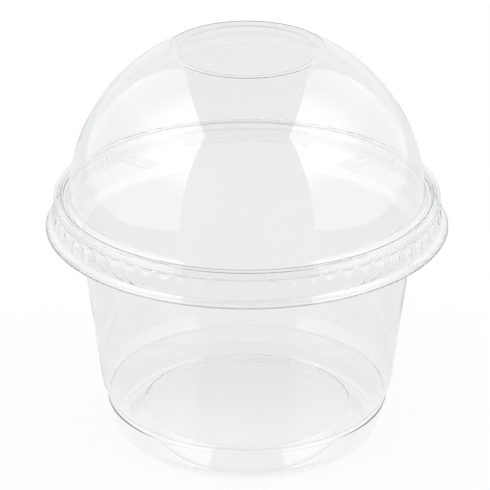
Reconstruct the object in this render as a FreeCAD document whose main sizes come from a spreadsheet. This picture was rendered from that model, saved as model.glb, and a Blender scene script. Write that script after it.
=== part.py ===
import FreeCAD, Part
import math
import os
import Sketcher

# Clear dessert cup with a domed lid, each thermoformed from one sheet. Millimetres, +Z up.
# The origin is the middle of the ring that the cup stands on, and +Z is the axis of both pieces.

SIZES = {
    # Cup: rolled rim and mouth
    "cup_wall": 0.45,
    "cup_height": 60.7,
    "rim_radius": 46.0,
    "curl_radius": 1.3,
    "curl_sweep": 290.0,
    "mouth_straight": 1.6,
    "mouth_depth": 8.4,
    "mouth_taper": 1.65,
    "step_height": 1.1,
    "step_width": 1.55,
    # Cup: foot, and the shoulder where the wall turns in to it
    "foot_radius": 34.75,
    "foot_height": 8.1,
    "foot_taper": 2.3,
    "foot_width": 2.85,
    "foot_round": 2.0,
    "notch_depth": 0.4,
    "notch_rise": 0.8,
    "shoulder_width": 1.4,
    "shoulder_height": 5.1,
    "floor_rise": 4.5,
    "floor_slope_width": 4.5,
    "small_round": 0.8,
    # Lid: seat on the rim
    "lid_wall": 0.4,
    "seat_gap": 0.1,
    "side_gap": 0.2,
    "bead_height": 0.8,
    "bead_width": 1.9,
    "bead_drop": 2.25,
    "bead_overhang": 0.35,
    "bead_round": 0.9,
    "bead_inner_round": 0.7,
    # Lid: dome and its hole
    "dome_inset": 2.5,
    "dome_drop": 1.2,
    "dome_round": 1.5,
    "hole_radius": 16.5,
    "lip_width": 2.3,
    "lip_drop": 0.95,
    "lip_round": 0.8,
    # Lid: skirt, brim and flutes
    "neck_drop": 0.3,
    "skirt_drop": 4.25,
    "skirt_taper": 0.9,
    "brim_drop": 1.6,
    "brim_width": 1.5,
    "flute_count": 60,
    "flute_angle": 4.0,
    "flute_inner_angle": 3.5,
    "flute_depth": 0.35,
    "flute_start": 0.25,
}

# Heights and radii that follow from the sizes, as formulas
CURL_MIDDLE_R = "rim_radius - curl_radius"
CURL_MIDDLE_Z = "cup_height - curl_radius"
MOUTH_R = "rim_radius - 2 * curl_radius + cup_wall"
MOUTH_LOW_R = MOUTH_R + " - mouth_taper"
MOUTH_LOW_Z = "cup_height - mouth_depth"
FOOT_LOW_R = "foot_radius - foot_taper"
FOOT_RING_R = FOOT_LOW_R + " - foot_width"
NOTCH_Z = "foot_height + notch_rise"

CHANNEL_Z = "cup_height + seat_gap + lid_wall"
BEAD_TOP_Z = CHANNEL_Z + " + bead_height"
BEAD_LOW_Z = BEAD_TOP_Z + " - bead_drop"
NECK_R = "rim_radius + side_gap + lid_wall"
NECK_Z = BEAD_LOW_Z + " - neck_drop"
BEAD_R = NECK_R + " + bead_overhang"
SKIRT_R = NECK_R + " + skirt_taper"
SKIRT_Z = NECK_Z + " - skirt_drop"
BRIM_R = SKIRT_R + " + brim_width"
BRIM_Z = SKIRT_Z + " - brim_drop"
DOME_R = "( rim_radius - dome_inset )"
DOME_MIDDLE_Z = "cup_height - dome_drop"
DOME_FOOT_R = "sqrt( " + DOME_R + " ^ 2 - ( " + CHANNEL_Z + " - ( " + DOME_MIDDLE_Z + " ) ) ^ 2 )"
RIDGE_R = "( hole_radius + lip_width )"
RIDGE_Z = DOME_MIDDLE_Z + " + sqrt( " + DOME_R + " ^ 2 - " + RIDGE_R + " ^ 2 )"
DIMPLE_R = "hole_radius - lid_wall"
DIMPLE_Z = RIDGE_Z + " - lip_drop * ( 1 + lid_wall / lip_width )"

doc = FreeCAD.newDocument("DessertCup")
sheet = doc.addObject("Spreadsheet::Sheet", "Sizes")
for row, (alias, length) in enumerate(SIZES.items(), start=1):
    sheet.set("A%d" % row, alias)
    sheet.set("B%d" % row, str(length))
    sheet.setAlias("B%d" % row, alias)
doc.recompute()


def cells(formula):
    """Turns the size names of a formula into the sheet's cells."""
    return " ".join("Sizes." + word if word in SIZES else word for word in formula.split())


def number(formula):
    """Works out a formula with the sheet's present sizes."""
    words = (str(sheet.get(word)) if word in SIZES else word for word in formula.split())
    return float(sheet.evalExpression(" ".join(words)))


def origin_feature(body, role):
    """Finds one of the body's own origin planes or axes."""
    for feature in body.Origin.OriginFeatures:
        if feature.Role == role:
            return feature


def new_sketch(body, name):
    """Starts a sketch in which x is the radius and y the height."""
    sketch = body.newObject("Sketcher::SketchObject", name)
    sketch.AttachmentSupport = [(origin_feature(body, "XZ_Plane"), "")]
    sketch.MapMode = "FlatFace"
    return sketch


def tie(sketch, kind, *place, formula, name):
    """Adds a sized constraint and binds it to the sheet."""
    index = sketch.addConstraint(Sketcher.Constraint(kind, *place, number(formula)))
    sketch.renameConstraint(index, name)
    sketch.setExpression("Constraints." + name, cells(formula))


def arc_about(centre, start, end, radius=None):
    """Gives the arc that runs anticlockwise from start to end."""
    circle = Part.Circle(centre, FreeCAD.Vector(0, 0, 1), radius or start.distanceToPoint(centre))
    first = math.atan2(start.y - centre.y, start.x - centre.x)
    last = math.atan2(end.y - centre.y, end.x - centre.x)
    return Part.ArcOfCircle(circle, first, last)


def turned_left(direction):
    """Turns a direction in the sketch by a quarter, anticlockwise."""
    return FreeCAD.Vector(-direction.y, direction.x, 0)


def heading(start, end, middle, at):
    """Gives the direction of a side at one of its ends, whether it is straight or an arc."""
    if middle is None:
        return (end - start).normalize()
    return turned_left(at - middle).normalize()


def round_corner(corner, inward, outward, radius):
    """Finds where a rounding leaves the first side, where it joins the second, and its middle."""
    turning = inward.getAngle(outward)
    reach = radius * math.tan(turning / 2)
    left = inward.cross(outward).z > 0
    leaves = corner - inward * reach
    joins = corner + outward * reach
    side = turned_left(inward) if left else turned_left(inward) * -1
    return leaves, joins, leaves + side * radius, left


def draw_outline(sketch, corners, arcs=None, smooth=None):
    """Draws a closed outline, anticlockwise, through named corners.

    Each corner is (name, radius, height, coordinates that are set, size of its rounding or None).
    arcs maps the name of a corner to the middle of the arc that leaves it.
    smooth names a corner at which the two sides run on in line.
    """
    arcs = arcs or {}
    count = len(corners)
    points = [FreeCAD.Vector(number(corner[1]), number(corner[2]), 0) for corner in corners]
    middles = [arcs.get(corner[0]) for corner in corners]
    ends = list(points)
    starts = list(points)
    rounds = {}
    for index, corner in enumerate(corners):
        if corner[4] is None:
            continue
        before = (index - 1) % count
        inward = heading(points[before], points[index], middles[before], points[index])
        outward = heading(points[index], points[(index + 1) % count], middles[index], points[index])
        rounds[index] = round_corner(points[index], inward, outward, number(corner[4]))
        ends[index], starts[index] = rounds[index][:2]
    for index in range(count):
        after = (index + 1) % count
        if middles[index] is None:
            sketch.addGeometry(Part.LineSegment(starts[index], ends[after]))
        else:
            sketch.addGeometry(arc_about(middles[index], starts[index], ends[after]))
    for index, (name, radius, height, fixed, rounding) in enumerate(corners):
        before = (index - 1) % count
        anchor = index
        if rounding is None:
            join = "Tangent" if name == smooth else "Coincident"
            sketch.addConstraint(Sketcher.Constraint(join, before, 2, index, 1))
        else:
            anchor = sketch.addGeometry(Part.Point(points[index]), True)
            draw_rounding(sketch, name, anchor, before, index, rounds[index], rounding)
        if radius == "0":
            sketch.addConstraint(Sketcher.Constraint("PointOnObject", anchor, 1, -2))
        elif "r" in fixed:
            tie(sketch, "DistanceX", -1, 1, anchor, 1, formula=radius, name=name + "_radius")
        if height == "0":
            sketch.addConstraint(Sketcher.Constraint("PointOnObject", anchor, 1, -1))
        elif "z" in fixed:
            tie(sketch, "DistanceY", -1, 1, anchor, 1, formula=height, name=name + "_height")


def draw_rounding(sketch, name, corner_point, before, after, placed, size_name):
    """Adds the arc that rounds a corner, tangent to the sides on each hand of it."""
    leaves, joins, middle, left = placed
    if left:
        curve = sketch.addGeometry(arc_about(middle, leaves, joins, number(size_name)))
    else:
        curve = sketch.addGeometry(arc_about(middle, joins, leaves, number(size_name)))
    near_end, far_end = (1, 2) if left else (2, 1)
    sketch.addConstraint(Sketcher.Constraint("Tangent", before, 2, curve, near_end))
    sketch.addConstraint(Sketcher.Constraint("Tangent", curve, far_end, after, 1))
    sketch.addConstraint(Sketcher.Constraint("PointOnObject", corner_point, 1, before))
    sketch.addConstraint(Sketcher.Constraint("PointOnObject", corner_point, 1, after))
    tie(sketch, "Radius", curve, formula=size_name, name=name + "_round")


def turn(body, kind, sketch, name, angle=None):
    """Turns a sketch about the body's axis, all the way or through an angle centred on the sketch."""
    feature = body.newObject("PartDesign::" + kind, name)
    feature.Profile = sketch
    feature.ReferenceAxis = (origin_feature(body, "Z_Axis"), [""])
    feature.Angle = 360.0
    if angle:
        feature.Midplane = True
        feature.setExpression("Angle", cells(angle))
    sketch.Visibility = False
    doc.recompute()
    return feature


def flat_faces(feature, heights):
    """Names the flat level faces of a feature at the given height formulas."""
    names = []
    for height in heights:
        for index, face in enumerate(feature.Shape.Faces, start=1):
            box = face.BoundBox
            if box.ZLength < 1e-6 and abs(box.ZMin - number(height)) < 1e-4:
                names.append("Face%d" % index)
    return names


def hollow(body, base, name, wall, open_heights):
    """Leaves a wall of a named thickness inside the solid and opens its level faces."""
    shell = body.newObject("PartDesign::Thickness", name)
    shell.Base = (base, flat_faces(base, open_heights))
    shell.Value = number(wall)
    shell.Reversed = True
    shell.Mode = 0
    shell.Join = 0
    shell.setExpression("Value", cells(wall))
    doc.recompute()
    return shell


def new_body(label):
    body = doc.addObject("PartDesign::Body", label)
    body.Label = label
    body.Placement = FreeCAD.Placement()
    return body


def make_cup():
    """The cup: tapered wall, stacking step, rolled rim, and a foot round a raised floor."""
    body = new_body("cup")
    outline = new_sketch(body, "CupOutline")
    wall_low = ("wall_low", "foot_radius + shoulder_width", NOTCH_Z + " + shoulder_height", "rz", None)
    wall_top = ("wall_top", MOUTH_LOW_R + " - step_width", MOUTH_LOW_Z + " - step_height", "rz", "small_round")
    notch = ("notch", "foot_radius - notch_depth", NOTCH_Z, "rz", None)
    corners = [
        ("floor_middle", "0", "floor_rise", "z", None),
        ("floor_edge", FOOT_RING_R + " - floor_slope_width", "floor_rise", "rz", "small_round"),
        ("foot_ring", FOOT_RING_R, "0", "r", "small_round"),
        ("foot_low", FOOT_LOW_R, "0", "r", "foot_round"),
        ("foot_top", "foot_radius", "foot_height", "rz", "small_round"),
        notch,
        wall_low,
        wall_top,
        ("mouth_low", MOUTH_LOW_R, MOUTH_LOW_Z, "rz", "small_round"),
        ("mouth_high", MOUTH_R, CURL_MIDDLE_Z + " - mouth_straight", "rz", None),
        ("mouth_top", MOUTH_R, CURL_MIDDLE_Z, "rz", None),
        ("top_middle", "0", CURL_MIDDLE_Z, "z", None),
    ]
    draw_outline(outline, corners, {"notch": shoulder_centre(notch, wall_low, wall_top)}, "wall_low")
    full = turn(body, "Revolution", outline, "CupForm")
    hollow(body, full, "CupWall", "cup_wall", [CURL_MIDDLE_Z])
    body.Tip = roll_rim(body)
    return body


def shoulder_centre(notch, wall_low, wall_top):
    """Finds the middle of the arc that leaves the notch and meets the wall in line with it."""
    low = FreeCAD.Vector(number(notch[1]), number(notch[2]), 0)
    high = FreeCAD.Vector(number(wall_low[1]), number(wall_low[2]), 0)
    along = FreeCAD.Vector(number(wall_top[1]), number(wall_top[2]), 0) - high
    inward = turned_left(along).normalize()
    chord = low - high
    radius = chord.Length ** 2 / (2 * chord.dot(inward))
    return high + inward * radius


def roll_rim(body):
    """Rolls the rim outward and under, as a wall bent about the middle of the curl."""
    sketch = new_sketch(body, "CurlOutline")
    middle = FreeCAD.Vector(number(CURL_MIDDLE_R), number(CURL_MIDDLE_Z), 0)
    start = math.radians(180.0 - number("curl_sweep"))
    outer_radius = number("curl_radius")
    inner_radius = number("curl_radius - cup_wall")
    upright = FreeCAD.Vector(0, 0, 1)
    outer = sketch.addGeometry(Part.ArcOfCircle(Part.Circle(middle, upright, outer_radius), start, math.pi))
    inner = sketch.addGeometry(Part.ArcOfCircle(Part.Circle(middle, upright, inner_radius), start, math.pi))
    arcs = [sketch.Geometry[outer], sketch.Geometry[inner]]
    root = sketch.addGeometry(Part.LineSegment(arcs[0].EndPoint, arcs[1].EndPoint))
    lip = sketch.addGeometry(Part.LineSegment(arcs[1].StartPoint, arcs[0].StartPoint))
    joins = [
        ("Coincident", outer, 3, inner, 3),
        ("Coincident", outer, 2, root, 1),
        ("Coincident", root, 2, inner, 2),
        ("Coincident", inner, 1, lip, 1),
        ("Coincident", lip, 2, outer, 1),
        ("Horizontal", root),
        ("PointOnObject", outer, 3, root),
        ("PointOnObject", outer, 3, lip),
    ]
    for join in joins:
        sketch.addConstraint(Sketcher.Constraint(*join))
    tie(sketch, "DistanceX", -1, 1, outer, 3, formula=CURL_MIDDLE_R, name="curl_middle_radius")
    tie(sketch, "DistanceY", -1, 1, outer, 3, formula=CURL_MIDDLE_Z, name="curl_middle_height")
    tie(sketch, "Radius", outer, formula="curl_radius", name="curl_outside")
    tie(sketch, "Radius", inner, formula="curl_radius - cup_wall", name="curl_inside")
    sweep = sketch.addConstraint(Sketcher.Constraint("Angle", outer, math.radians(number("curl_sweep"))))
    sketch.renameConstraint(sweep, "curl_sweep")
    sketch.setExpression("Constraints.curl_sweep", cells("curl_sweep * 1 deg"))
    return turn(body, "Revolution", sketch, "RimCurl")


def make_lid():
    """The lid: dome with a turned-in hole, channel and bead over the rim, fluted skirt and brim."""
    body = new_body("dome_lid")
    outline = new_sketch(body, "LidOutline")
    corners = [
        ("brim_middle", "0", BRIM_Z, "z", None),
        ("brim_edge", BRIM_R, BRIM_Z, "rz", None),
        ("skirt_low", SKIRT_R, SKIRT_Z, "rz", None),
        ("neck", NECK_R, NECK_Z, "rz", None),
        ("bead_low", BEAD_R, BEAD_LOW_Z, "rz", None),
        ("bead_outside", BEAD_R, BEAD_TOP_Z, "rz", "bead_round"),
        ("bead_inside", BEAD_R + " - bead_width", BEAD_TOP_Z, "rz", "bead_inner_round"),
        ("channel", BEAD_R + " - bead_width", CHANNEL_Z, "rz", None),
        ("dome_foot", DOME_FOOT_R, CHANNEL_Z, "z", "dome_round"),
        ("ridge", RIDGE_R, RIDGE_Z, "r", "lip_round"),
        ("dimple_edge", DIMPLE_R, DIMPLE_Z, "rz", None),
        ("dimple_middle", "0", DIMPLE_Z, "z", None),
    ]
    dome = [corner[0] for corner in corners].index("dome_foot")
    draw_outline(outline, corners, {"dome_foot": FreeCAD.Vector(0, number(DOME_MIDDLE_Z), 0)})
    outline.addConstraint(Sketcher.Constraint("PointOnObject", dome, 3, -2))
    tie(outline, "DistanceY", -1, 1, dome, 3, formula=DOME_MIDDLE_Z, name="dome_middle_height")
    tie(outline, "Radius", dome, formula=DOME_R, name="dome_size")
    full = turn(body, "Revolution", outline, "LidForm")
    hollow(body, full, "LidWall", "lid_wall", [BRIM_Z])
    cut_hole(body)
    body.Tip = flute_skirt(body)
    return body


def cut_hole(body):
    """Cuts the floor out of the dimple at the top, which leaves the turned-in lip round the hole."""
    sketch = new_sketch(body, "HoleOutline")
    low = DIMPLE_Z + " - 2 * lid_wall"
    draw_outline(sketch, [
        ("low_middle", "0", low, "z", None),
        ("low_edge", "hole_radius", low, "rz", None),
        ("high_edge", "hole_radius", RIDGE_Z, "rz", None),
        ("high_middle", "0", RIDGE_Z, "z", None),
    ])
    return turn(body, "Groove", sketch, "HoleCut")


def flute_skirt(body):
    """Presses upright flutes out of the skirt: one rib and the hollow behind it, then the ring of them."""
    top = NECK_Z + " - flute_start"
    slope = "flute_depth * brim_drop / brim_width"
    rib_sketch = new_sketch(body, "FluteOutline")
    draw_outline(rib_sketch, [
        ("top_inside", NECK_R + " - lid_wall / 2", top, "rz", None),
        ("low_inside", SKIRT_R + " - lid_wall / 2", SKIRT_Z, "rz", None),
        ("low_outside", SKIRT_R + " + flute_depth", SKIRT_Z + " - " + slope + " - lid_wall / 4", "rz", None),
        ("top_outside", NECK_R + " + flute_depth", top + " - flute_depth", "rz", None),
    ])
    rib = turn(body, "Revolution", rib_sketch, "Flute", "flute_angle")
    hollow_sketch = new_sketch(body, "FluteHollowOutline")
    hollow_top = top + " - lid_wall / 2"
    draw_outline(hollow_sketch, [
        ("top_inside", NECK_R + " - 1.5 * lid_wall", hollow_top, "rz", None),
        ("low_inside", SKIRT_R + " - 1.5 * lid_wall", SKIRT_Z + " - brim_drop / 2", "rz", None),
        ("low_outside", SKIRT_R + " - lid_wall + flute_depth", SKIRT_Z + " - brim_drop / 2", "rz", None),
        ("top_outside", NECK_R + " - lid_wall + flute_depth", hollow_top + " - flute_depth", "rz", None),
    ])
    back = turn(body, "Groove", hollow_sketch, "FluteHollow", "flute_inner_angle")
    ring = body.newObject("PartDesign::PolarPattern", "Flutes")
    ring.Originals = [rib, back]
    ring.Axis = (origin_feature(body, "Z_Axis"), [""])
    ring.Angle = 360.0
    ring.setExpression("Occurrences", cells("flute_count"))
    doc.recompute()
    return ring


def check(bodies):
    """Stops if an object failed or a shape is empty or not valid."""
    doc.recompute()
    for thing in doc.Objects:
        if "Invalid" in thing.State or "Error" in thing.State:
            raise RuntimeError(thing.Name + " failed: " + str(thing.State))
    for body in bodies:
        if body.Shape.isNull() or not body.Shape.isValid():
            raise RuntimeError(body.Label + " has no valid shape")
        if len(body.Shape.Solids) != 1:
            raise RuntimeError(body.Label + " is not one solid")


cup = make_cup()
lid = make_lid()
check([cup, lid])
os.makedirs("parts", exist_ok=True)
for body in (cup, lid):
    body.Shape.exportStep("parts/" + body.Label + ".step")
    print(body.Label, round(body.Shape.Volume, 1), "mm3", len(body.Shape.Faces), "faces")
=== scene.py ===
import math

import bpy
from mathutils import Matrix, Vector


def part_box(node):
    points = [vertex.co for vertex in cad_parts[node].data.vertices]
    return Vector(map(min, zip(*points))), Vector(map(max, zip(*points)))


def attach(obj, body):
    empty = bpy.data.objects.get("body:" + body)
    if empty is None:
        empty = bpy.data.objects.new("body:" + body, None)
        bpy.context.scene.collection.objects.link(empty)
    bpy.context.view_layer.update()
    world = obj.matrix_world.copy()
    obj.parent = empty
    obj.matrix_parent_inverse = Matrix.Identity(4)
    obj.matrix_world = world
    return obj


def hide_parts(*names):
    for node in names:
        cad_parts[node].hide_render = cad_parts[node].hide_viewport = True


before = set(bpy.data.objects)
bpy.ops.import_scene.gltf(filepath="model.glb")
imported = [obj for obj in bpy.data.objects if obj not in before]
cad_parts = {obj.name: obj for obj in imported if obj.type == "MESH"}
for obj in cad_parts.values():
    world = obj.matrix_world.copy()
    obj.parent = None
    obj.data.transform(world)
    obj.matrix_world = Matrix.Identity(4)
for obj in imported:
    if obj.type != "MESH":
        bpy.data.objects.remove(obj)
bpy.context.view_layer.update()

# Clear dessert cup with a domed lid. Outlines are in millimetres, as radius and height.
MM = 0.001

# Cup
CUP_WALL = 0.45
CUP_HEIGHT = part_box("cup")[1].z / MM
RIM_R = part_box("cup")[1].x / MM
CURL_R = 1.3
CURL_SWEEP = math.radians(215.0)
CURL_THIN_POINTS = 8
CURL_END_SHARE = 0.1
MOUTH_R = RIM_R - 2 * CURL_R + CUP_WALL
CURL_MIDDLE = (RIM_R - CURL_R, CUP_HEIGHT - CURL_R)
MOUTH_BEND_DROP = 1.6
MOUTH_BEND_ROUND = 3.0
MOUTH_LOW = (42.2, 52.3)
WALL_TOP = (40.65, 51.2)
SHOULDER = (35.82, 11.25)
SHOULDER_ROUND = 11.4
NOTCH = (34.35, 8.9)
NOTCH_ROUND = 0.3
FOOT_TOP = (34.75, 8.1)
FOOT_LOW_R = 32.45
FOOT_RING_R = 29.6
FLOOR_R = 25.1
FLOOR_RISE = 4.5
SMALL_ROUND = 0.8
LEDGE_ROUND = 1.7
FOOT_ROUND = 2.0

# Lid
LID_WALL = 0.4
BRIM_LOW = (49.0, 53.6)
SKIRT_LOW = (47.5, 55.2)
SKIRT_ROUND = 0.5
NECK = (46.6, 59.45)
NECK_ROUND = 0.25
BEAD_LOW = (46.95, 59.75)
BEAD_LOW_ROUND = 0.2
BEAD_INSIDE_R = 45.05
BEAD_TOP = 62.0
BEAD_ROUND = 0.9
BEAD_INNER_ROUND = 0.45
CHANNEL_Z = 61.2
CHANNEL_ROUND = 0.33
DOME_R = 43.5
DOME_MIDDLE_Z = 59.5
DOME_FOOT_ROUND = 1.5
RIDGE_ANGLE = math.radians(63.92)
LIP_SLOPE = math.radians(7.0)
LIP_ROUND = 1.3
HOLE_R = 16.5

# Flutes of the skirt
FLUTES = 60
FLUTE_DEPTH = 0.35
FLUTE_TOP = 59.1
FLUTE_LOW = 55.05
FLUTE_TAIL = 2.4
FLUTE_HALF = 1.7
FLUTE_EDGE = 0.95
FLUTE_MARGIN = 0.1

# Steps of the meshes
ARC_STEP = math.radians(9.0)
RUN_STEP = 2.6
RUN_END = 0.14
FLUTE_ROW = 0.3
CUP_STEPS = 240
LID_STEPS = 192
FLUTE_STEPS = 16 * FLUTES
NOTHING = 1e-6
SAME_PLACE = 0.01
END_GAP = 0.02
SHARP_ANGLE = math.radians(50.0)

# Studio, in metres: a white room. Through the plastic the floor has painted shade: its glow is greyer
# behind the object.
WHITE = (1.0, 1.0, 1.0, 1.0)
FILL = (0.72, 0.72, 0.72, 1.0)
FLOOR_COLOUR = (0.96, 0.96, 0.96, 1.0)
FLOOR_REACH = 0.9

# Places and the levels there: painted shade of the floor's glow along Y, seen in gloss and through the
# plastic; white share of the floor away from the object
FLOOR_PAINTED_SHADE_FRONT = (-0.015, 1.0)
FLOOR_PAINTED_SHADE_REAR = (0.02, 0.88)
SHARE_NEAR = (0.15, 0.88)
SHARE_FAR = (0.35, 1.0)

# Softboxes: sizes, then places from the bottom or from the middle, and the levels there
PANEL_WIDTH = 1.175
PANEL_HEIGHT = 1.02
PANEL_LEAN = math.radians(7.4)
PANEL_MIDDLE = (0.5, 0.073, 0.49)
PANEL_LOW = (0.2, 0.6)
PANEL_HIGH = (0.5, 1.65)
PANEL_REAR = (0.2, 0.35)
PANEL_FRONT = (0.12, 1.0)


def unit(a, b):
    """Direction from a to b."""
    length = math.dist(a[:2], b[:2])
    return ((b[0] - a[0]) / length, (b[1] - a[1]) / length)


def arc_samples(middle, radius, start, turn):
    """Points on an arc, each with the direction of travel."""
    count = max(3, math.ceil(abs(turn) / ARC_STEP), math.ceil(abs(turn) * radius / RUN_STEP))
    way = math.copysign(1.0, turn)
    samples = []
    for k in range(count + 1):
        angle = start + turn * k / count
        point = (middle[0] + radius * math.cos(angle), middle[1] + radius * math.sin(angle))
        samples.append((point, (-way * math.sin(angle), way * math.cos(angle))))
    return samples


def run_samples(start, end):
    """Points on a straight run, closer at its ends so that the shading stays flat."""
    length = math.dist(start, end)
    if length < NOTHING:
        return []
    along = unit(start, end)
    count = max(1, math.ceil(length / RUN_STEP))
    places = [length * k / count for k in range(count + 1)]
    if length > 4 * RUN_END:
        places = sorted(places + [RUN_END, length - RUN_END])
    return [((start[0] + along[0] * d, start[1] + along[1] * d), along) for d in places]


def rounded_line(corners):
    """Points along a line through corners, each rounded to its own radius."""
    samples = []
    here = corners[0][:2]
    for before, corner, after in zip(corners, corners[1:], corners[2:]):
        inward = unit(before, corner)
        outward = unit(corner, after)
        across = inward[0] * outward[1] - inward[1] * outward[0]
        ahead = inward[0] * outward[0] + inward[1] * outward[1]
        turn = math.atan2(across, ahead)
        radius = corner[2]
        reach = radius * math.tan(abs(turn) / 2)
        leaves = (corner[0] - inward[0] * reach, corner[1] - inward[1] * reach)
        samples += run_samples(here, leaves)
        if radius > 0:
            side = math.copysign(1.0, turn)
            middle = (leaves[0] - side * inward[1] * radius, leaves[1] + side * inward[0] * radius)
            start = math.atan2(leaves[1] - middle[1], leaves[0] - middle[0])
            samples += arc_samples(middle, radius, start, turn)
        here = (corner[0] + outward[0] * reach, corner[1] + outward[1] * reach)
    return samples + run_samples(here, corners[-1][:2])


def without_doubles(samples):
    """Drops points that repeat the one before in the same direction."""
    kept = [samples[0]]
    for sample in samples[1:]:
        if math.dist(sample[0], kept[-1][0]) > SAME_PLACE:
            kept.append(sample)
    return kept


def with_flute_rows(samples):
    """Adds close rows along the fluted part of the skirt."""
    rows = [samples[0]]
    for (start, _), (end, along) in zip(samples, samples[1:]):
        if on_flutes((start[1] + end[1]) / 2):
            count = math.ceil(math.dist(start, end) / FLUTE_ROW)
            step = ((end[0] - start[0]) / count, (end[1] - start[1]) / count)
            rows += [((start[0] + step[0] * k, start[1] + step[1] * k), along) for k in range(1, count)]
        rows.append((end, along))
    return rows


def cup_outline():
    """Outside of the cup, from the middle of its floor to the end of the curl."""
    corners = [
        (0.0, FLOOR_RISE, 0.0),
        (FLOOR_R, FLOOR_RISE, SMALL_ROUND),
        (FOOT_RING_R, 0.0, SMALL_ROUND),
        (FOOT_LOW_R, 0.0, FOOT_ROUND),
        (*FOOT_TOP, SMALL_ROUND),
        (*NOTCH, NOTCH_ROUND),
        (*SHOULDER, SHOULDER_ROUND),
        (*WALL_TOP, LEDGE_ROUND),
        (*MOUTH_LOW, LEDGE_ROUND),
        (MOUTH_R, CURL_MIDDLE[1] - MOUTH_BEND_DROP, MOUTH_BEND_ROUND),
        (MOUTH_R, CURL_MIDDLE[1], 0.0),
    ]
    curl = arc_samples(CURL_MIDDLE, CURL_R - CUP_WALL, math.pi, -CURL_SWEEP)
    return without_doubles(rounded_line(corners) + curl)


def on_dome(angle, radius=DOME_R):
    """Point at an angle above the level, seen from the middle of the dome."""
    return (radius * math.cos(angle), DOME_MIDDLE_Z + radius * math.sin(angle))


def lid_outline():
    """Outside of the lid, from the edge of its brim to the edge of the hole."""
    foot_angle = math.asin((CHANNEL_Z + DOME_FOOT_ROUND - DOME_MIDDLE_Z) / (DOME_R + DOME_FOOT_ROUND))
    low = on_dome(foot_angle)
    foot = (low[0] + (low[1] - CHANNEL_Z) * math.tan(foot_angle), CHANNEL_Z)
    half = (RIDGE_ANGLE - foot_angle) / 2
    shoulder = on_dome(foot_angle + half, DOME_R / math.cos(half))
    turn = math.pi / 2 - RIDGE_ANGLE + LIP_SLOPE
    reach = LIP_ROUND * math.tan(turn / 2)
    high = on_dome(RIDGE_ANGLE)
    ridge = (high[0] - math.sin(RIDGE_ANGLE) * reach, high[1] + math.cos(RIDGE_ANGLE) * reach)
    lip = (HOLE_R, ridge[1] - (ridge[0] - HOLE_R) * math.tan(LIP_SLOPE))
    corners = [
        (*BRIM_LOW, 0.0),
        (*SKIRT_LOW, SKIRT_ROUND),
        (*NECK, NECK_ROUND),
        (*BEAD_LOW, BEAD_LOW_ROUND),
        (BEAD_LOW[0], BEAD_TOP, BEAD_ROUND),
        (BEAD_INSIDE_R, BEAD_TOP, BEAD_INNER_ROUND),
        (BEAD_INSIDE_R, CHANNEL_Z, CHANNEL_ROUND),
        (*foot, DOME_FOOT_ROUND),
        (*shoulder, DOME_R),
        (*ridge, LIP_ROUND),
        (*lip, 0.0),
    ]
    return with_flute_rows(without_doubles(rounded_line(corners)))


def smooth_step(low, high, value):
    """Eases from 0 at low to 1 at high."""
    share = min(1.0, max(0.0, (value - low) / (high - low)))
    return share * share * (3 - 2 * share)


def flute(angle, radius, height):
    """How far the skirt is pressed out at a place: upright ribs with round lower ends."""
    pitch = 2 * math.pi / FLUTES
    across = abs((angle + pitch / 2) % pitch - pitch / 2) * radius
    tail = max(0.0, (FLUTE_LOW + FLUTE_TAIL - height) / FLUTE_TAIL)
    inside = (1.0 - math.hypot(across / FLUTE_HALF, tail)) * FLUTE_HALF
    side = smooth_step(0.0, FLUTE_EDGE, inside)
    top = smooth_step(0.0, FLUTE_EDGE, FLUTE_TOP - height)
    return FLUTE_DEPTH * side * top


def plain(angle, radius, height):
    """A sheet with nothing pressed out of it."""
    return 0.0


def on_flutes(height):
    """Whether a height of the lid lies on its flutes."""
    return FLUTE_LOW - FLUTE_MARGIN < height < FLUTE_TOP + FLUTE_MARGIN


def cup_steps(height):
    """Steps round a ring of the cup."""
    return CUP_STEPS


def lid_steps(height):
    """Steps round a ring of the lid, which are closer on the flutes."""
    return FLUTE_STEPS if on_flutes(height) else LID_STEPS


def make_ring(verts, radius, height, steps, press):
    """Adds a ring of points, or the middle point where the radius is 0. Gives its start and count."""
    start = len(verts)
    if radius < NOTHING:
        verts.append((0.0, 0.0, height * MM))
        return (start, 1)
    for k in range(steps):
        angle = 2 * math.pi * k / steps
        reach = (radius + press(angle, radius, height)) * MM
        verts.append((reach * math.cos(angle), reach * math.sin(angle), height * MM))
    return (start, steps)


def ring_part(ring, k, parts):
    """Points of a ring along the k-th of its equal parts, both ends included."""
    start, count = ring
    if count == 1:
        return [start]
    each = count // parts
    return [start + (k * each + j) % count for j in range(each + 1)]


def joined_rings(a, b):
    """Faces between two rings. A close ring meets a wide one, several steps to each of its steps."""
    parts = min(count for _, count in (a, b) if count > 1)
    return [ring_part(a, k, parts) + ring_part(b, k, parts)[::-1] for k in range(parts)]


def offset(outline, wall, thin_points=0):
    """The other face of the sheet, a wall away to the left of travel, thinning over its last points."""
    other = []
    for k, (point, along) in enumerate(outline):
        left = len(outline) - 1 - k
        here = wall
        if left < thin_points:
            here = wall * (CURL_END_SHARE + (1.0 - CURL_END_SHARE) * left / thin_points)
        other.append(((point[0] - along[1] * here, point[1] + along[0] * here), along))
    return other


def turned_round(samples):
    """The same samples, travelled the other way."""
    return [(p, (-d[0], -d[1])) for p, d in samples[::-1]]


def ended_at(samples, axis, value):
    """Ends the samples where their last run reaches a radius (axis 0) or a height (axis 1)."""
    point, along = samples[-1]
    step = (value - point[axis]) / along[axis]
    end = (point[0] + along[0] * step, point[1] + along[1] * step)
    kept = list(samples)
    while (end[0] - kept[-1][0][0]) * along[0] + (end[1] - kept[-1][0][1]) * along[1] < END_GAP:
        kept.pop()
    return kept + [(end, along)]


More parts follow.
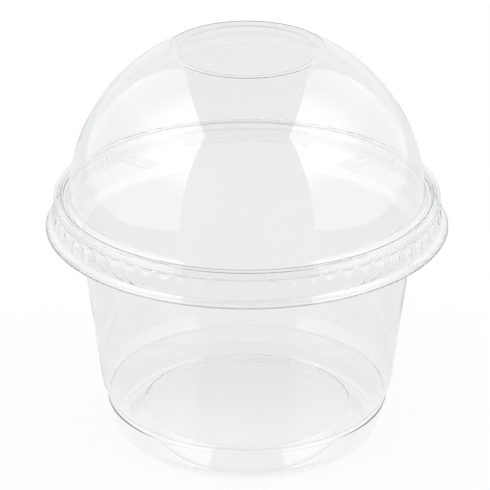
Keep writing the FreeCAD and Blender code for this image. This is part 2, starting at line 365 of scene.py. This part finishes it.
def turned_sheet(name, outline, inside, steps, press, edge_slot=0):
    """A closed sheet turned about +Z, between its outline and its other face.

    Its cut edges take the material of edge_slot.
    """
    verts = []
    outer = [make_ring(verts, radius, height, steps(height), press) for (radius, height), _ in outline]
    inner = [make_ring(verts, radius, height, steps(height), press) for (radius, height), _ in inside]
    faces = []
    for a, b in zip(outer, outer[1:]):
        faces += joined_rings(a, b)
    for a, b in zip(inner, inner[1:]):
        faces += [face[::-1] for face in joined_rings(a, b)]
    first_edge = len(faces)
    if outer[0][1] > 1:
        faces += joined_rings(inner[0], outer[0])
    faces += joined_rings(outer[-1], inner[-1])
    mesh = bpy.data.meshes.new(name)
    mesh.from_pydata(verts, [], faces)
    for polygon in mesh.polygons[first_edge:]:
        polygon.material_index = edge_slot
    mesh.shade_smooth()
    mesh.set_sharp_from_angle(angle=SHARP_ANGLE)
    piece = bpy.data.objects.new(name, mesh)
    bpy.context.scene.collection.objects.link(piece)
    return piece


def add_socket(group, name, direction, kind, value=None):
    """Adds a named socket to a node group."""
    socket = group.interface.new_socket(name=name, in_out=direction, socket_type=kind)
    if value is not None:
        socket.default_value = value


def link(tree, source, target):
    """Joins two sockets."""
    tree.links.new(source, target)


def new_node(tree, kind, **values):
    """Adds a node with its settings."""
    node = tree.nodes.new(kind)
    for key, value in values.items():
        setattr(node, key, value)
    return node


def eased(tree, source, low, high):
    """A value eased from low to high. Each is a place and the level there."""
    ease = new_node(tree, "ShaderNodeMapRange", interpolation_type="SMOOTHSTEP")
    ease.inputs["From Min"].default_value = low[0]
    ease.inputs["From Max"].default_value = high[0]
    ease.inputs["To Min"].default_value = low[1]
    ease.inputs["To Max"].default_value = high[1]
    link(tree, source, ease.inputs["Value"])
    return ease.outputs["Result"]


def make_sheet_flow():
    """Node group: faint flow of drawn sheet, as height, tint and roughness over the surface."""
    group = bpy.data.node_groups.new("drawn_sheet", "ShaderNodeTree")
    add_socket(group, "Swell Scale", "INPUT", "NodeSocketFloat", 60.0)
    add_socket(group, "Streak Scale", "INPUT", "NodeSocketFloat", 400.0)
    add_socket(group, "Clear Colour", "INPUT", "NodeSocketColor", (0.97, 0.97, 0.97, 1.0))
    add_socket(group, "Thick Colour", "INPUT", "NodeSocketColor", (0.94, 0.94, 0.94, 1.0))
    add_socket(group, "Smoothest", "INPUT", "NodeSocketFloat", 0.004)
    add_socket(group, "Roughest", "INPUT", "NodeSocketFloat", 0.03)
    add_socket(group, "Colour", "OUTPUT", "NodeSocketColor")
    add_socket(group, "Roughness", "OUTPUT", "NodeSocketFloat")
    add_socket(group, "Height", "OUTPUT", "NodeSocketFloat")
    start = new_node(group, "NodeGroupInput")
    end = new_node(group, "NodeGroupOutput")
    place = new_node(group, "ShaderNodeTexCoord")
    swell = new_node(group, "ShaderNodeTexNoise")
    swell.inputs["Detail"].default_value = 1.0
    link(group, place.outputs["Object"], swell.inputs["Vector"])
    link(group, start.outputs["Swell Scale"], swell.inputs["Scale"])
    stretch = new_node(group, "ShaderNodeMapping")
    stretch.inputs["Scale"].default_value = (1.0, 1.0, 0.06)
    link(group, place.outputs["Object"], stretch.inputs["Vector"])
    streak = new_node(group, "ShaderNodeTexNoise")
    streak.inputs["Detail"].default_value = 2.0
    link(group, stretch.outputs["Vector"], streak.inputs["Vector"])
    link(group, start.outputs["Streak Scale"], streak.inputs["Scale"])
    tint = new_node(group, "ShaderNodeMix", data_type="RGBA")
    link(group, swell.outputs["Fac"], tint.inputs["Factor"])
    link(group, start.outputs["Clear Colour"], tint.inputs["A"])
    link(group, start.outputs["Thick Colour"], tint.inputs["B"])
    link(group, tint.outputs["Result"], end.inputs["Colour"])
    rough = new_node(group, "ShaderNodeMapRange")
    rough.inputs["From Min"].default_value = 0.35
    rough.inputs["From Max"].default_value = 0.75
    link(group, streak.outputs["Fac"], rough.inputs["Value"])
    link(group, start.outputs["Smoothest"], rough.inputs["To Min"])
    link(group, start.outputs["Roughest"], rough.inputs["To Max"])
    link(group, rough.outputs["Result"], end.inputs["Roughness"])
    height = new_node(group, "ShaderNodeMath", operation="MULTIPLY_ADD")
    link(group, streak.outputs["Fac"], height.inputs[0])
    height.inputs[1].default_value = 0.12
    link(group, swell.outputs["Fac"], height.inputs[2])
    link(group, height.outputs[0], end.inputs["Height"])
    return group


def clear_plastic(name, flow, clear, thick, swell, streak, bump, rough=(0.004, 0.03), clearness=1.0):
    """Clear PET sheet: glass-like, with the flow of drawn sheet in its surface."""
    material = bpy.data.materials.new(name)
    material.use_nodes = True
    tree = material.node_tree
    tree.nodes.clear()
    out = new_node(tree, "ShaderNodeOutputMaterial")
    plastic = new_node(tree, "ShaderNodeBsdfPrincipled")
    plastic.inputs["Metallic"].default_value = 0.0
    plastic.inputs["IOR"].default_value = 1.57
    plastic.inputs["Transmission Weight"].default_value = clearness
    sheet = new_node(tree, "ShaderNodeGroup", node_tree=flow)
    sheet.inputs["Swell Scale"].default_value = swell
    sheet.inputs["Streak Scale"].default_value = streak
    sheet.inputs["Clear Colour"].default_value = clear
    sheet.inputs["Thick Colour"].default_value = thick
    sheet.inputs["Smoothest"].default_value = rough[0]
    sheet.inputs["Roughest"].default_value = rough[1]
    waves = new_node(tree, "ShaderNodeBump")
    waves.inputs["Strength"].default_value = 1.0
    waves.inputs["Distance"].default_value = bump
    link(tree, sheet.outputs["Colour"], plastic.inputs["Base Color"])
    link(tree, sheet.outputs["Roughness"], plastic.inputs["Roughness"])
    link(tree, sheet.outputs["Height"], waves.inputs["Height"])
    link(tree, waves.outputs["Normal"], plastic.inputs["Normal"])
    link(tree, plastic.outputs["BSDF"], out.inputs["Surface"])
    return material


def seen_directly(tree):
    """1 for rays that look at the backdrop: from the camera, off gloss or through glass."""
    path = new_node(tree, "ShaderNodeLightPath")
    first = new_node(tree, "ShaderNodeMath", operation="MAXIMUM")
    link(tree, path.outputs["Is Camera Ray"], first.inputs[0])
    link(tree, path.outputs["Is Glossy Ray"], first.inputs[1])
    both = new_node(tree, "ShaderNodeMath", operation="MAXIMUM")
    link(tree, first.outputs[0], both.inputs[0])
    link(tree, path.outputs["Is Transmission Ray"], both.inputs[1])
    return path, both.outputs[0]


def make_floor():
    """Pale floor: white to the eye, with the object's shadow kept in its lit share. In gloss and through
    the plastic its glow has painted shade, greyer behind the object.
    """
    bpy.ops.mesh.primitive_circle_add(vertices=96, radius=FLOOR_REACH, fill_type="NGON")
    floor = bpy.context.object
    floor.name = "floor"
    material = bpy.data.materials.new("pale_floor")
    material.use_nodes = True
    tree = material.node_tree
    tree.nodes.clear()
    out = new_node(tree, "ShaderNodeOutputMaterial")
    lit = new_node(tree, "ShaderNodeBsdfDiffuse")
    lit.inputs["Color"].default_value = FLOOR_COLOUR
    path, seen = seen_directly(tree)
    place = new_node(tree, "ShaderNodeTexCoord")
    split = new_node(tree, "ShaderNodeSeparateXYZ")
    link(tree, place.outputs["Object"], split.inputs["Vector"])
    shade = new_node(tree, "ShaderNodeMapRange")
    link(tree, path.outputs["Is Camera Ray"], shade.inputs["Value"])
    # Painted shade: in gloss and glass the floor glows at 1.0 in front of the object and 0.88 behind it.
    link(tree, eased(tree, split.outputs["Y"], FLOOR_PAINTED_SHADE_FRONT, FLOOR_PAINTED_SHADE_REAR), shade.inputs["To Min"])
    shade.inputs["To Max"].default_value = 1.0
    white = new_node(tree, "ShaderNodeEmission")
    link(tree, shade.outputs["Result"], white.inputs["Strength"])
    reach = new_node(tree, "ShaderNodeVectorMath", operation="LENGTH")
    link(tree, place.outputs["Object"], reach.inputs[0])
    share = new_node(tree, "ShaderNodeMath", operation="MULTIPLY")
    link(tree, seen, share.inputs[0])
    link(tree, eased(tree, reach.outputs["Value"], SHARE_NEAR, SHARE_FAR), share.inputs[1])
    mix = new_node(tree, "ShaderNodeMixShader")
    link(tree, share.outputs[0], mix.inputs["Fac"])
    link(tree, lit.outputs["BSDF"], mix.inputs[1])
    link(tree, white.outputs["Emission"], mix.inputs[2])
    link(tree, mix.outputs["Shader"], out.inputs["Surface"])
    floor.data.materials.append(material)


def make_surroundings():
    """World: white to the camera, gloss and glass, even fill to the rest."""
    world = bpy.data.worlds.new("studio")
    bpy.context.scene.world = world
    world.use_nodes = True
    tree = world.node_tree
    tree.nodes.clear()
    out = new_node(tree, "ShaderNodeOutputWorld")
    _, seen = seen_directly(tree)
    room = new_node(tree, "ShaderNodeMix", data_type="RGBA")
    link(tree, seen, room.inputs["Factor"])
    room.inputs["A"].default_value = FILL
    room.inputs["B"].default_value = WHITE
    background = new_node(tree, "ShaderNodeBackground")
    link(tree, room.outputs["Result"], background.inputs["Color"])
    link(tree, background.outputs["Background"], out.inputs["Surface"])


def make_softbox(name, side):
    """Tall soft panel beside the object, brighter at its top and fading towards its rear end."""
    out_of_panel = Vector((side, 0.0, 0.0))
    up_panel = Vector((0.0, math.sin(PANEL_LEAN), math.cos(PANEL_LEAN)))
    along_panel = up_panel.cross(out_of_panel)
    lamp = bpy.data.lights.new(name, "AREA")
    lamp.shape = "RECTANGLE"
    lamp.size = PANEL_WIDTH
    lamp.size_y = PANEL_HEIGHT
    lamp.energy = math.pi * PANEL_WIDTH * PANEL_HEIGHT
    lamp.use_nodes = True
    tree = lamp.node_tree
    tree.nodes.clear()
    out = new_node(tree, "ShaderNodeOutputLight")
    light = new_node(tree, "ShaderNodeEmission")
    place = new_node(tree, "ShaderNodeNewGeometry")
    split = new_node(tree, "ShaderNodeSeparateXYZ")
    link(tree, place.outputs["Parametric"], split.inputs["Vector"])
    rear = (0.5 + side * PANEL_REAR[0], PANEL_REAR[1])
    front = (0.5 - side * PANEL_FRONT[0], PANEL_FRONT[1])
    both = new_node(tree, "ShaderNodeMath", operation="MULTIPLY")
    link(tree, eased(tree, split.outputs["Y"], PANEL_LOW, PANEL_HIGH), both.inputs[0])
    link(tree, eased(tree, split.outputs["X"], rear, front), both.inputs[1])
    link(tree, both.outputs[0], light.inputs["Strength"])
    link(tree, light.outputs["Emission"], out.inputs["Surface"])
    softbox = bpy.data.objects.new(name, lamp)
    softbox.location = (side * PANEL_MIDDLE[0], PANEL_MIDDLE[1], PANEL_MIDDLE[2])
    softbox.rotation_mode = "QUATERNION"
    softbox.rotation_quaternion = Matrix((along_panel, up_panel, out_of_panel)).transposed().to_quaternion()
    softbox.visible_camera = False
    bpy.context.scene.collection.objects.link(softbox)


def make_camera():
    """Long lens, looking down on the rim."""
    elevation = math.radians(24.8)
    distance = 0.8
    aim = Vector((-0.0005, 0.0, 0.0473))
    camera = bpy.data.objects.new("camera", bpy.data.cameras.new("camera"))
    camera.data.lens = 240.3
    camera.data.sensor_width = 36.0
    camera.data.clip_start = 0.01
    camera.location = aim + Vector((0.0, -math.cos(elevation), math.sin(elevation))) * distance
    camera.rotation_mode = "QUATERNION"
    camera.rotation_quaternion = (aim - camera.location).to_track_quat("-Z", "Y")
    bpy.context.scene.collection.objects.link(camera)
    bpy.context.scene.camera = camera


flow = make_sheet_flow()
cup_sheet = clear_plastic(
    "clear_cup_sheet", flow, (0.965, 0.968, 0.97, 1), (0.945, 0.948, 0.952, 1), 45.0, 380.0, 0.00003)
lid_sheet = clear_plastic(
    "clear_lid_sheet", flow, (0.965, 0.967, 0.97, 1), (0.945, 0.948, 0.95, 1), 38.0, 300.0, 0.00003)
cut_edge = clear_plastic(
    "frosted_cut_edge", flow, (0.95, 0.95, 0.95, 1), (0.88, 0.88, 0.88, 1), 200.0, 900.0, 0.00002,
    rough=(0.4, 0.6), clearness=0.0)
cup_outside = cup_outline()
cup_inside = offset(cup_outside, CUP_WALL, CURL_THIN_POINTS)
cup = turned_sheet("clear_cup", cup_outside, cup_inside, cup_steps, plain)
cup.data.materials.append(cup_sheet)
lid_outside = lid_outline()
lid_inside = ended_at(offset(lid_outside, LID_WALL), 0, HOLE_R)
lid_inside = turned_round(ended_at(turned_round(lid_inside), 1, BRIM_LOW[1]))
lid = turned_sheet("clear_dome_lid", lid_outside, lid_inside, lid_steps, flute, 1)
lid.data.materials.append(lid_sheet)
lid.data.materials.append(cut_edge)
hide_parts("cup")
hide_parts("dome_lid")
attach(cup, "cup")
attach(lid, "lid")

make_floor()
make_surroundings()
make_softbox("left_softbox", -1)
make_softbox("right_softbox", 1)
make_camera()
bpy.context.scene.view_settings.view_transform = "Standard"
bpy.context.scene.cycles.max_bounces = 32
bpy.context.scene.cycles.transmission_bounces = 32
bpy.context.scene.cycles.glossy_bounces = 16
